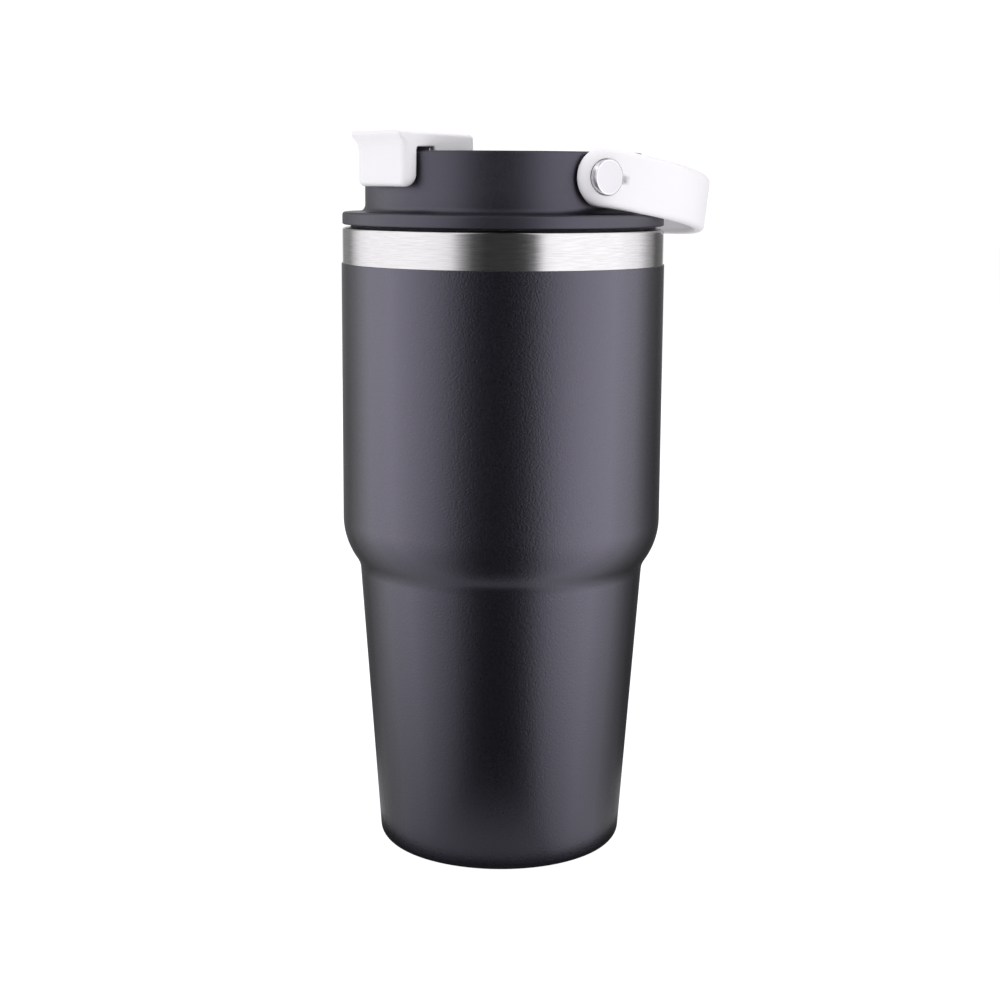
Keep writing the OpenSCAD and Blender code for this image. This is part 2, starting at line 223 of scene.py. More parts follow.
# The wall of light leans in overhead: (radius in metres, height in metres, share)
WALL_RINGS = ((1.3, GLOW_Z, 1.0), (1.3, 1.25, 1.0), (0.9, 2.0, 0.6), (0.5, 2.3, 0.25))
# The table glows at least this much within this radius in metres, close to the foot
FOOT_GLOW = 0.4
FOOT_GLOW_R = 0.061
FLOOR_SIZE = 12
FLOOR_DROP = 0.0002
DOME_R = 5.5
DOME_GLOW = 1.05
LAMP_SIZE = 1.6
LAMP_HEIGHT = 1.5
LAMP_POWER = 14
ROOM_TINT = (0.97, 0.95, 1.0, 1)
ROOM_GLOW = 0.06

# Camera
CAMERA_AZIMUTH = 51.5
CAMERA_DISTANCE = 537.6
CAMERA_HEIGHT = 205.42
CAMERA_LENS = 63.15
CAMERA_YAW = -0.000774
CAMERA_PITCH = 0.181226
CAMERA_ROLL = -0.006297


# ---- Outlines ----


def arc(cx, cy, r, start, end, n=8):
    """Points of an arc between two angles in degrees."""
    angles = [math.radians(start + (end - start) * i / n) for i in range(n + 1)]
    return [(cx + r * math.cos(a), cy + r * math.sin(a)) for a in angles]


def soft_corner(p, c, q, n=6):
    """A curve that leaves p, turns at c and ends at q."""
    out = []
    for i in range(n + 1):
        t = i / n
        a, b, d = (1 - t) ** 2, 2 * t * (1 - t), t * t
        out.append((a * p[0] + b * c[0] + d * q[0], a * p[1] + b * c[1] + d * q[1]))
    return out


def rounded(points, n=6):
    """Outline of (x, y, radius) points with each corner rounded by its radius."""
    out = []
    count = len(points)
    for i, (x, y, radius) in enumerate(points):
        here = Vector((x, y))
        if radius <= 0:
            out.append((x, y))
            continue
        before = Vector(points[i - 1][:2]) - here
        after = Vector(points[(i + 1) % count][:2]) - here
        room = 0.49 * min(before.length, after.length)
        before.normalize()
        after.normalize()
        half = before.angle(after) / 2
        reach = min(radius / math.tan(half), room)
        radius = reach * math.tan(half)
        centre = here + (before + after).normalized() * (radius / math.sin(half))
        first, last = here + before * reach - centre, here + after * reach - centre
        sweep = first.angle(last)
        for k in range(n + 1):
            t = k / n
            spoke = first * math.sin((1 - t) * sweep) + last * math.sin(t * sweep)
            out.append(tuple(centre + spoke / math.sin(sweep)))
    return out


def cup_side(inset, start=-90):
    """Outside of the cup from the foot's fillet to the shoulder's top, set in from the coat."""
    shoulder_c = UPPER_R - SHOULDER_R
    step_r = FOOT_R + CONE_SLOPE * STEP_Z
    meet = math.degrees(math.acos((step_r - shoulder_c) / SHOULDER_R))
    foot = arc(FOOT_R + 0.1 - FOOT_FILLET, FOOT_FILLET - COAT_T, FOOT_FILLET - inset, start, -4, 14)
    low = (FOOT_R + CONE_SLOPE * (STEP_Z - 2) - inset, STEP_Z - 2)
    high = arc(shoulder_c, SHOULDER_Z, SHOULDER_R - inset, 6 - meet, 6 - meet, 1)[0]
    step = soft_corner(low, (step_r - inset, STEP_Z), high, 8)
    shoulder = arc(shoulder_c, SHOULDER_Z, SHOULDER_R - inset, 8 - meet, 0, 24)
    return foot + step + shoulder


# ---- Mesh tools ----


def add_lathe(bm, outline, segments=256, y=0.0, closed=True):
    """Turns an outline of (radius, z) about a vertical axis at x = 0 and the given y."""
    rings = []
    for r, z in outline:
        if r < 1e-6:
            rings.append([bm.verts.new((0, y * MM, z * MM))])
            continue
        ring = []
        for i in range(segments):
            a = 2 * math.pi * i / segments
            ring.append(bm.verts.new((r * math.cos(a) * MM, (y + r * math.sin(a)) * MM, z * MM)))
        rings.append(ring)
    pairs = list(zip(rings, rings[1:]))
    if closed and len(rings[0]) > 1 and len(rings[-1]) > 1:
        pairs.append((rings[-1], rings[0]))
    for low, high in pairs:
        if len(low) == 1 and len(high) == 1:
            continue
        for i in range(segments):
            j = (i + 1) % segments
            loop = [low[i % len(low)], low[j % len(low)], high[j % len(high)], high[i % len(high)]]
            unique = list(dict.fromkeys(loop))
            if len(unique) > 2:
                bm.faces.new(unique)


def add_lathe_x(bm, outline, side, z=PIVOT_Z, y=0.0, segments=96):
    """Turns an outline of (radius, x) about an axis along X; side is 1 or -1."""
    own = bmesh.new()
    add_lathe(own, outline, segments)
    turn = Matrix(((0, 0, side, 0), (0, 1, 0, y * MM), (1, 0, 0, z * MM), (0, 0, 0, 1)))
    bmesh.ops.transform(own, matrix=turn, verts=own.verts)
    copy_into(bm, own)


def copy_into(bm, other):
    """Adds another bmesh to bm and frees it."""
    mesh = bpy.data.meshes.new("part")
    other.to_mesh(mesh)
    other.free()
    bm.from_mesh(mesh)
    bpy.data.meshes.remove(mesh)


def join_rows(bm, rows):
    """Skins closed rows of equal length and caps the two ends."""
    size = len(rows[0])
    for low, high in zip(rows, rows[1:]):
        for k in range(size):
            m = (k + 1) % size
            bm.faces.new((low[k], low[m], high[m], high[k]))
    bm.faces.new(rows[0])
    bm.faces.new(rows[-1])


def add_prism(bm, outline, levels):
    """Joins copies of a (y, z) outline at each (x, inset) level and closes both ends."""
    centre = Vector((sum(p[0] for p in outline), sum(p[1] for p in outline))) / len(outline)
    rows = []
    for x, inset in levels:
        row = []
        for p in outline:
            spoke = Vector(p) - centre
            q = centre + spoke * (1 - inset / spoke.length)
            row.append(bm.verts.new((x * MM, q[0] * MM, q[1] * MM)))
        rows.append(row)
    join_rows(bm, rows)


def add_thread(bm, root_r, crest_r, z0, a0):
    """One rounded helical ridge from its root to its crest radius, faded out at both ends."""
    count = int(THREAD_TURN * 360 / THREAD_STEP)
    rows = []
    for i in range(count + 1):
        fade = min(1.0, i / THREAD_FADE, (count - i) / THREAD_FADE)
        fade = math.sin(fade * math.pi / 2)
        height = (crest_r - root_r) * (0.2 + 0.8 * fade)
        half = THREAD_HALF * (0.35 + 0.65 * fade)
        a = math.radians(a0 + i * THREAD_STEP)
        z = z0 + THREAD_LEAD * i * THREAD_STEP / 360
        section = [(0, -half), (0.72, -0.62 * half), (0.95, -0.42 * half), (1.0, -0.2 * half),
                   (1.0, 0.2 * half), (0.95, 0.42 * half), (0.72, 0.62 * half), (0, half)]
        row = []
        for share, dz in section:
            r = root_r + height * share
            row.append(bm.verts.new((r * math.cos(a) * MM, r * math.sin(a) * MM, (z + dz) * MM)))
        rows.append(row)
    join_rows(bm, rows)


def finish_mesh(name, bm, material, sharp=32.0):
    """Makes an object of bm: outward normals, smooth faces, sharp edges over the given angle."""
    bmesh.ops.remove_doubles(bm, verts=bm.verts, dist=1e-7)
    bmesh.ops.recalc_face_normals(bm, faces=bm.faces)
    limit = math.radians(sharp)
    for face in bm.faces:
        face.smooth = True
    for edge in bm.edges:
        edge.smooth = len(edge.link_faces) == 2 and edge.calc_face_angle(0) < limit
    mesh = bpy.data.meshes.new(name)
    bm.to_mesh(mesh)
    bm.free()
    obj = bpy.data.objects.new(name, mesh)
    bpy.context.scene.collection.objects.link(obj)
    mesh.materials.append(material)
    return obj


def cut(obj, cutter_bm):
    """Cuts a closed bmesh out of obj and keeps its shading."""
    cutter = finish_mesh("cutter", cutter_bm, obj.data.materials[0])
    change = obj.modifiers.new("cut", "BOOLEAN")
    change.operation = "DIFFERENCE"
    change.solver = "EXACT"
    change.object = cutter
    shaped = bpy.data.meshes.new_from_object(obj.evaluated_get(bpy.context.evaluated_depsgraph_get()))
    obj.modifiers.clear()
    old = obj.data
    obj.data = shaped
    shaped.name = obj.name
    bpy.data.meshes.remove(old)
    bpy.data.meshes.remove(cutter.data)


def box_bm(low, high):
    """A closed box between two corners, in millimetres."""
    bm = bmesh.new()
    bmesh.ops.create_cube(bm, size=1)
    for v in bm.verts:
        for k in range(3):
            v.co[k] = (low[k] if v.co[k] < 0 else high[k]) * MM
    return bm


def place(obj, body, slot, *nodes):
    """Rides the piece on its body and lets it stand for its CAD nodes."""
    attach(obj, body)
    if nodes:
        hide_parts(*nodes)
    return obj


# ---- Materials ----


class Shader:
    """A material's node tree with short helpers for procedural detail."""

    def __init__(self, name, **values):
        self.material = bpy.data.materials.new(name)
        self.material.use_nodes = True
        self.tree = self.material.node_tree
        self.bsdf = self.tree.nodes["Principled BSDF"]
        for key, value in values.items():
            self.bsdf.inputs[key.replace("_", " ")].default_value = value
        coords = self.tree.nodes.new("ShaderNodeTexCoord")
        self.place = coords.outputs["Object"]

    def node(self, kind, inputs=None, **settings):
        made = self.tree.nodes.new("ShaderNode" + kind)
        for key, value in settings.items():
            setattr(made, key, value)
        for key, value in (inputs or {}).items():
            if isinstance(value, bpy.types.NodeSocket):
                self.tree.links.new(value, made.inputs[key])
            else:
                made.inputs[key].default_value = value
        return made

    def math(self, operation, a, b=0.0):
        return self.node("Math", {0: a, 1: b}, operation=operation).outputs[0]

    def noise(self, scale, detail=2.0, rough=0.5, place=None):
        inputs = {"Vector": place or self.place, "Scale": scale, "Detail": detail, "Roughness": rough}
        return self.node("TexNoise", inputs).outputs["Fac"]

    def remap(self, value, low, high, start=0.0, end=1.0):
        inputs = {"Value": value, "From Min": start, "From Max": end, "To Min": low, "To Max": high}
        return self.node("MapRange", inputs).outputs["Result"]

    def mix(self, fac, a, b):
        made = self.node("Mix", data_type="RGBA")
        self.tree.links.new(fac, made.inputs["Factor"])
        made.inputs["A"].default_value = (*a, 1)
        made.inputs["B"].default_value = (*b, 1)
        return made.outputs["Result"]

    def bump(self, height, distance, strength=1.0):
        inputs = {"Height": height, "Distance": distance, "Strength": strength}
        return self.node("Bump", inputs).outputs["Normal"]

    def hypotenuse(self, a, b):
        squares = self.math("ADD", self.math("MULTIPLY", a, a), self.math("MULTIPLY", b, b))
        return self.math("SQRT", squares)

    def by_facing(self, stops):
        """A value that follows how far the surface turns away from the viewer, from (turn, value) stops."""
        facing = self.node("LayerWeight", {"Blend": 0.5}).outputs["Facing"]
        ramp = self.node("ValToRGB", {"Fac": facing})
        elements = ramp.color_ramp.elements
        while len(elements) < len(stops):
            elements.new(0.5)
        for element, (turn, value) in zip(elements, stops):
            element.position = turn
            element.color = (value, value, value, 1)
        return ramp.outputs["Color"]

    def pivot_radius(self):
        """Distance from the axis through both pivots."""
        xyz = self.node("SeparateXYZ", {"Vector": self.place}).outputs
        return self.hypotenuse(xyz["Y"], self.math("SUBTRACT", xyz["Z"], PIVOT_Z * MM))

    def link(self, output, name):
        self.tree.links.new(output, self.bsdf.inputs[name])

    def turned(self, across, along, axis="Z"):
        """Coordinates that run fast across and slowly along the turning direction of a lathe."""
        xyz = self.node("SeparateXYZ", {"Vector": self.place}).outputs
        if axis == "Z":
            first, second, length = xyz["X"], xyz["Y"], xyz["Z"]
        else:
            first, second, length = xyz["Y"], self.math("SUBTRACT", xyz["Z"], PIVOT_Z * MM), xyz["X"]
        angle = self.math("ARCTAN2", second, first)
        radius = self.hypotenuse(first, second)
        run = self.math("ADD", self.math("MULTIPLY", length, across), self.math("MULTIPLY", radius, across))
        inputs = {"X": self.math("COSINE", angle), "Y": self.math("SINE", angle), "Z": run}
        ring = self.node("CombineXYZ", inputs).outputs["Vector"]
        stretched = self.node("VectorMath", {0: ring, 1: (along, along, 1.0)}, operation="MULTIPLY")
        return stretched.outputs["Vector"]


def coat_material():
    """Near-black powder coat with a violet cast and a fine, even grain."""
    s = Shader("powder_coat", IOR=2.1, Specular_Tint=DARK_TINT)
    grain = s.noise(1800, 2.0)
    s.link(s.mix(grain, (0.0012, 0.0011, 0.0018), (0.0026, 0.0024, 0.0038)), "Base Color")
    s.link(s.remap(grain, 0.27, 0.37, 0.3, 0.7), "Roughness")
    # Painted sheen: specular level follows the facing ramp, tuned to the studio light.
    s.link(s.by_facing(COAT_SHEEN), "Specular IOR Level")
    s.link(s.bump(grain, 0.0001, 0.8), "Normal")
    return s.material


def steel_material(name, base, rough, grain_bump):
    """Steel with fine brushing that runs round the mug."""
    s = Shader(name, Metallic=1.0, Anisotropic=0.5, Anisotropic_Rotation=0.25)
    lines = s.noise(1.0, 3.0, 0.6, s.turned(4500, 8.0))
    broad = s.noise(1.0, 2.0, 0.5, s.turned(1500, 3.0))
    s.link(s.mix(s.remap(lines, 0.0, 1.0, 0.3, 0.7), tuple(0.8 * c for c in base), base), "Base Color")
    mixed = s.math("ADD", s.math("MULTIPLY", lines, 0.6), s.math("MULTIPLY", broad, 0.4))
    s.link(s.remap(mixed, rough - 0.06, rough + 0.08, 0.3, 0.7), "Roughness")
    s.link(s.bump(lines, grain_bump, 0.35), "Normal")
    tangent = s.node("Tangent", direction_type="RADIAL", axis="Z").outputs["Tangent"]
    s.link(tangent, "Tangent")
    return s.material


def plastic_material(name, low, high, rough, ior=1.5, tint=(1, 1, 1, 1)):
    """Moulded plastic with a fine spark-eroded texture."""
    s = Shader(name, IOR=ior, Specular_Tint=tint)
    grain = s.noise(1900, 2.0)
    cloud = s.noise(60, 2.0)
    s.link(s.mix(cloud, low, high), "Base Color")
    s.link(s.remap(grain, rough - 0.05, rough + 0.06, 0.3, 0.7), "Roughness")
    s.link(s.bump(grain, 0.00002, 0.4), "Normal")
    return s.material


def rubber_material(name, low, high, rough):
    """Silicone with a soft bloom."""
    s = Shader(name, Sheen_Weight=0.25, Sheen_Roughness=0.4)
    cloud = s.noise(240, 3.0)
    s.link(s.mix(cloud, low, high), "Base Color")
    s.link(s.remap(cloud, rough - 0.05, rough + 0.08, 0.3, 0.7), "Roughness")
    s.link(s.bump(s.noise(2600, 2.0), 0.000012, 0.4), "Normal")
    return s.material


def turned_metal_material(name, base, rough, rim=None):
    """Small turned metal part with lathe rings about its own axis, and, if asked, a painted highlight: a
    brighter colour on the cap's rounded edge and wall.
    """
    s = Shader(name, Metallic=1.0)
    rings = s.noise(1.0, 2.0, 0.5, s.turned(9000, 1.0, "X"))
    colour = s.mix(rings, tuple(0.86 * c for c in base), base)
    if rim is not None:
        # Painted highlight: the cap's rounded edge and wall get a brighter colour that stands in for the
        # light they catch.
        edge = s.remap(s.pivot_radius(), 0.0, 1.0, (CAP_R - 0.4) * MM, (CAP_R - 0.15) * MM)
        highlight_mix = s.node("Mix", {"Factor": edge}, data_type="RGBA")
        s.tree.links.new(colour, highlight_mix.inputs["A"])
        highlight_mix.inputs["B"].default_value = (*rim, 1)
        colour = highlight_mix.outputs["Result"]
    s.link(colour, "Base Color")
    s.link(s.remap(rings, rough - 0.05, rough + 0.08, 0.3, 0.7), "Roughness")
    s.link(s.bump(rings, 0.000004, 0.4), "Normal")
    return s.material


def floor_material():
    """Plain white floor with a faint contact shadow, clear when seen from below."""
    s = Shader("floor", Roughness=0.9)
    cloud = s.noise(3, 2.0)
    s.link(s.mix(cloud, (0.19, 0.19, 0.19), (0.2, 0.2, 0.2)), "Base Color")
    s.bsdf.inputs["Emission Color"].default_value = (1, 1, 1, 1)
    s.bsdf.inputs["Emission Strength"].default_value = 0.98
    below = s.node("NewGeometry").outputs["Backfacing"]
    clear = s.node("BsdfTransparent").outputs[0]
    both = s.node("MixShader", {0: below, 1: s.bsdf.outputs[0], 2: clear}).outputs[0]
    s.tree.links.new(both, s.tree.nodes["Material Output"].inputs["Surface"])
    return s.material


def glow_material(name, radiance=None):
    """An even glow, or one that follows the mesh's own "glow" values when no radiance is given."""
    material = bpy.data.materials.new(name)
    material.use_nodes = True
    tree = material.node_tree
    tree.nodes.clear()
    glow = tree.nodes.new("ShaderNodeEmission")
    if radiance is None:
        values = tree.nodes.new("ShaderNodeAttribute")
        values.attribute_name = "glow"
        tree.links.new(values.outputs["Fac"], glow.inputs["Strength"])
    else:
        glow.inputs["Strength"].default_value = radiance
    out = tree.nodes.new("ShaderNodeOutputMaterial")
    tree.links.new(glow.outputs[0], out.inputs["Surface"])
    return material


# ---- Cup ----


def make_coat(material):
    """Powder coat, from just round the foot's fillet up to the straight line below the bare band."""
    outside = cup_side(0.0, COAT_START)
    edge = [(BAND_R + COAT_T, COAT_TOP_Z - 0.12), (BAND_R + COAT_T - 0.12, COAT_TOP_Z)]
    inside = [(BAND_R + 0.02, COAT_TOP_Z)] + list(reversed(cup_side(COAT_T - 0.02, COAT_START)))
    bm = bmesh.new()
    add_lathe(bm, outside + edge + inside)
    return place(finish_mesh("coat_skin", bm, material), "cup", "powder_coat", "powder_coat")


def make_shell(material):
    """Outer steel shell with its rolled lip."""
    lip = arc(BAND_R - 0.8, LIP_Z - 0.8, 0.8, 0, 90, 8)
    turned_in = [(MOUTH_R + LINER_T + 0.02, LIP_Z), (MOUTH_R + LINER_T + 0.02, LIP_Z - SHELL_T),
                 (BAND_R - SHELL_T, LIP_Z - SHELL_T), (BAND_R - SHELL_T, COAT_TOP_Z)]
    inside = list(reversed(cup_side(COAT_T + SHELL_T)))
    bm = bmesh.new()
    outline = [(FOOT_INNER_R, 0)] + cup_side(COAT_T) + [(BAND_R, COAT_TOP_Z)]
    add_lathe(bm, outline + lip + turned_in + inside + [(FOOT_INNER_R, SHELL_T)])
    return place(finish_mesh("steel_shell", bm, material), "cup", "band_steel", "outer_shell")


def liner_side(inset):
    """The liner's wall from its floor to the mouth."""
    shoulder_c = UPPER_R - SHOULDER_R
    corner_r = LINER_FOOT_R + CONE_SLOPE * 15 - LINER_CORNER
    corner = arc(corner_r, LINER_FLOOR_Z - LINER_T + LINER_CORNER, LINER_CORNER - inset, -90, -4, 14)
    cone = [(LINER_FOOT_R + CONE_SLOPE * LINER_STEP_Z - inset, LINER_STEP_Z)]
    shoulder = arc(shoulder_c, SHOULDER_Z, LINER_R - shoulder_c - inset, -40, 0, 16)
    return [(0, LINER_FLOOR_Z - LINER_T + inset)] + corner + cone + shoulder


def make_liner(material):
    """Inner steel liner with the thread that the lid screws into."""
    neck = [(LINER_R, MOUTH_LOW_Z - 4), (MOUTH_R + LINER_T, MOUTH_LOW_Z), (MOUTH_R + LINER_T, LIP_Z)]
    mouth = soft_corner((MOUTH_R + 0.35, LIP_Z), (MOUTH_R, LIP_Z), (MOUTH_R, LIP_Z - 0.5), 4)
    mouth += [(MOUTH_R, MOUTH_LOW_Z), (LINER_R - LINER_T, MOUTH_LOW_Z - 4)]
    bm = bmesh.new()
    add_lathe(bm, liner_side(0) + neck + mouth + list(reversed(liner_side(LINER_T))), closed=False)
    for start in THREAD_STARTS:
        add_thread(bm, MOUTH_R + THREAD_ROOT, MOUTH_CREST_R, MOUTH_THREAD_Z, start)
    return place(finish_mesh("steel_liner", bm, material), "cup", "liner_steel", "inner_liner")


# ---- Lid ----


def lid_outline():
    """Turned outline of the lid shell, from the plug's lower end up the outside and down the recess."""
    skirt = [(SKIRT_INNER_R, PLUG_Z, 0.3), (PLUG_R, PLUG_Z, 0.7)]
    groove = [(PLUG_R, GROOVE_Z, 0), (GROOVE_R, GROOVE_Z, 0)]
    flange = [(GROOVE_R, FLANGE_Z, 0.15), (FLANGE_R, FLANGE_Z, 0.5), (FLANGE_R, FLANGE_TOP_Z, FLANGE_EDGE)]
    neck = [(NECK_R, FLANGE_TOP_Z + 0.2, 2.0), (NECK_R, RIM_Z, 0.7), (RIM_INNER_R, RIM_Z, 0.7)]
    recess = [(RIM_INNER_R, FLOOR_Z, 1.6), (0, FLOOR_Z, 0), (0, FLOOR_Z - FLOOR_T, 0)]
    under = [(RIM_INNER_R - 0.4, FLOOR_Z - FLOOR_T, 1.0), (RIM_INNER_R - 0.4, FLANGE_TOP_Z + 0.6, 0.5),
             (SKIRT_INNER_R, FLANGE_TOP_Z - 2.4, 0.5)]
    return rounded(skirt + groove + flange + neck + recess + under, 8)


def add_ear(bm, side):
    """A rounded lug that holds one end of the flip cap's pin."""
    top = arc(PIN_Y, PIN_Z, EAR_R, 0, 180, 20)
    outline = [(PIN_Y + EAR_R, FLOOR_Z - 1)] + top + [(PIN_Y - EAR_R, FLOOR_Z - 1)]
    add_prism(bm, outline, [(side * x, inset) for x, inset in EAR_LEVELS])


def make_lid(material):
    """Lid shell with its spout, pivot pads and bosses, hinge ears and thread."""
    bm = bmesh.new()
    add_lathe(bm, lid_outline())
    body = finish_mesh("lid_body", bm, material)
    hole = bmesh.new()
    add_lathe(hole, [(0, 190), (SPOUT_HOLE_R, 190), (SPOUT_HOLE_R, 210), (0, 210)], 96, SPOUT_Y)
    cut(body, hole)
    bm = bmesh.new()
    bm.from_mesh(body.data)
    bpy.data.meshes.remove(body.data)
    spout = rounded([(SPOUT_BORE, PLUG_Z, 0.2), (SPOUT_R, PLUG_Z, 0.2), (SPOUT_R, SPOUT_Z, 0.6),
                     (SPOUT_BORE, SPOUT_Z, 0.6)], 5)
    add_lathe(bm, spout, 96, SPOUT_Y)
    for side in (1, -1):
        pad = rounded([(0, RIM_INNER_R + 0.5, 0), (PAD_R, RIM_INNER_R + 0.5, 0), (PAD_R, PAD_X, 0.3),
                       (0, PAD_X, 0)], 4)
        add_lathe_x(bm, pad, side)
        boss = rounded([(0, BOSS_X, 0), (BOSS_R, BOSS_X, 0.8), (BOSS_R, RIM_INNER_R + 1, 0),
                        (0, RIM_INNER_R + 1, 0)], 5)
        add_lathe_x(bm, boss, side)
        add_ear(bm, side)
    for start in THREAD_STARTS:
        add_thread(bm, PLUG_R - THREAD_ROOT, PLUG_CREST_R, PLUG_THREAD_Z, start)
    return place(finish_mesh("lid_body", bm, material), "lid", "lid_plastic", "lid_shell")


def make_gasket(material):
    """Silicone ring in the groove under the flange."""
    inner, outer = PLUG_R + 0.05, GROOVE_R - 0.35
    z, top = LIP_Z + GASKET_GAP, GROOVE_Z - GASKET_GAP
    outline = rounded([(inner, z, 0.1), (GASKET_OUTER_R, z, 0.1), (outer, z + 0.28, 0.1), (outer, top, 0.15),
                       (inner, top, 0.1)], 4)
    bm = bmesh.new()
    add_lathe(bm, outline)
    return place(finish_mesh("gasket_ring", bm, material), "seal", "black_silicone", "lid_gasket")


# ---- Pivots ----


def make_caps(material):
    """Bright cap over each pivot screw, hollow inside to fit over its head."""
    bm = bmesh.new()
    floor_x = HEAD_X + SOCKET_DEPTH
    socket = [(0, floor_x, 0), (SOCKET_R, floor_x, 0.1), (SOCKET_R, HEAD_X, 0.1)]
    outline = rounded(socket + [(CAP_R, HEAD_X, 0.1), (CAP_R, CAP_X, 0.28), (0, CAP_X, 0)], 6)
    for side in (1, -1):
        add_lathe_x(bm, outline, side, segments=128)
    return place(finish_mesh("pivot_buttons", bm, material), "lid", "cap_steel", "pivot_caps")


def make_washers(material):
    """Thin dark washer under each cap."""
    bm = bmesh.new()
    outline = rounded([(WASHER_BORE, WASHER_LOW_X, 0.05), (WASHER_R, WASHER_LOW_X, 0.1),
                       (WASHER_R, WASHER_TOP_X, 0.12), (WASHER_BORE, WASHER_TOP_X, 0.05)], 4)
    for side in (1, -1):
        add_lathe_x(bm, outline, side)
    return place(finish_mesh("button_washers", bm, material), "lid", "washer_plastic", "outer_washers")


def make_pin(material):
    """Pin that the flip cap turns on."""
    bm = bmesh.new()
    outline = rounded([(0, -PIN_HALF, 0), (PIN_R, -PIN_HALF, 0.3), (PIN_R, PIN_HALF, 0.3),
                       (0, PIN_HALF, 0)], 4)
    add_lathe_x(bm, outline, 1, PIN_Z, PIN_Y, 64)
    return place(finish_mesh("flip_pin", bm, material), "lid", "screw_steel", "hinge_pin")


# ---- Handle ----


def handle_path():
    """Stations along the handle's outside from behind one pivot to the middle of the back.

    Each is (distance past the pivot, point, outward direction), in the handle's own flat plane.
    """
    side_c = SIDE_X - SIDE_R
    join = math.radians(END_ANGLE)
    end_r = (side_c + SIDE_R * math.cos(join)) / math.cos(join)
    end_c = SIDE_Y + (SIDE_R - end_r) * math.sin(join)

    def station(s):
        pivot = math.asin(-SIDE_Y / SIDE_R)
        a = pivot + s / SIDE_R
        if a <= join:
            out = Vector((math.cos(a), math.sin(a)))
            return Vector((side_c, SIDE_Y)) + out * SIDE_R, out
        a = join + (s - (join - pivot) * SIDE_R) / end_r
        out = Vector((math.cos(a), math.sin(a)))
        return Vector((0, end_c)) + out * end_r, out

    length = (join - math.asin(-SIDE_Y / SIDE_R)) * SIDE_R + (math.pi / 2 - join) * end_r
    return station, length


def smooth_step(t):
    """Eases from 0 to 1."""
    t = min(1.0, max(0.0, t))
    return t * t * (3 - 2 * t)


def round_over(distance, radius):
    """How far a rounded edge has dropped at a distance in from it."""
    if distance >= radius:
        return 0.0
    return radius - math.sqrt(max(0.0, radius * radius - (radius - distance) ** 2))


def fade_along(s, fade):
    """1 at the eye, falling to 0 over the (start, length) stretch."""
    start, length = fade
    return 1 - smooth_step((s - start) / length)


class HandleSurface:
    """Turns (distance along, height across, outside or inside) into a point of the handle."""

    def __init__(self):
        self.station, self.length = handle_path()

    def point(self, s, v, outside):
        """The point s along from the pivot and v above the strap's middle line, in metres."""
        centre, out = self.station(s)
        reach = math.hypot(s, v)
        edge = STRAP_HALF - (reach if s < 0 else abs(v))
        if outside:
            dome = EYE_DOME_H * round_over(edge / EYE_DOME_W, 1.0)
            eye = fade_along(s, EYE_FADE_OUT)
            p = centre - out * (round_over(edge, OUTER_ROUND) * (1 - eye) + dome * eye)
            if reach < DISH_R:
                p.x = DISH_X
            else:
                p.x -= round_over(reach - DISH_R, DISH_EDGE)
        else:
            eye = fade_along(s, EYE_FADE_IN)
            radius = INNER_ROUND + (EYE_INNER_ROUND - INNER_ROUND) * eye
            p = centre - out * (STRAP_T - round_over(edge, radius))
            flat = fade_along(s, EYE_FLAT)
            p.x += (EYE_INNER_X + round_over(edge, radius) - p.x) * flat
        return Vector((p.x, p.y, v)) * MM


def strap_heights():
    """Heights across the strap, close together where its edges are rounded."""
    near = [0, 0.03, 0.12, 0.27, 0.48, 0.75, 1.1, 1.5, 1.9]
    low = [-STRAP_HALF + d for d in near]
    middle = [-4.4, -2.2, 0, 2.2, 4.4]
    return low + middle + [-v for v in reversed(low)]


def eye_rays(heights):
    """Ends of the rays that fill the handle's rounded end, in order round the hole."""
    top = [(JOIN_S * (1 - k / 8), STRAP_HALF) for k in range(1, 8)]
    back = [(STRAP_HALF * math.cos(a), STRAP_HALF * math.sin(a))
            for a in [math.radians(90 + 5 * k) for k in range(37)]]
    bottom = [(JOIN_S * k / 8, -STRAP_HALF) for k in range(1, 8)]
    return [(JOIN_S, v) for v in heights] + top + back + bottom


def ray_points(end):
    """Points along one ray, from the hole to the outline."""
    length = math.hypot(*end)
    reach = [EYE_BORE, 4.2, DISH_R - 0.001, DISH_R]
    reach += [DISH_R + DISH_EDGE * k for k in (0.03, 0.13, 0.3, 0.5, 0.75, 1.0)]
    insets = [2.3, 1.9, 1.5, 1.1, 0.75, 0.48, 0.27, 0.12, 0.03, 0]
    scale = length / STRAP_HALF
    reach += [(STRAP_HALF - d) * scale for d in insets]
    return [(end[0] * r / length, end[1] * r / length) for r in reach]


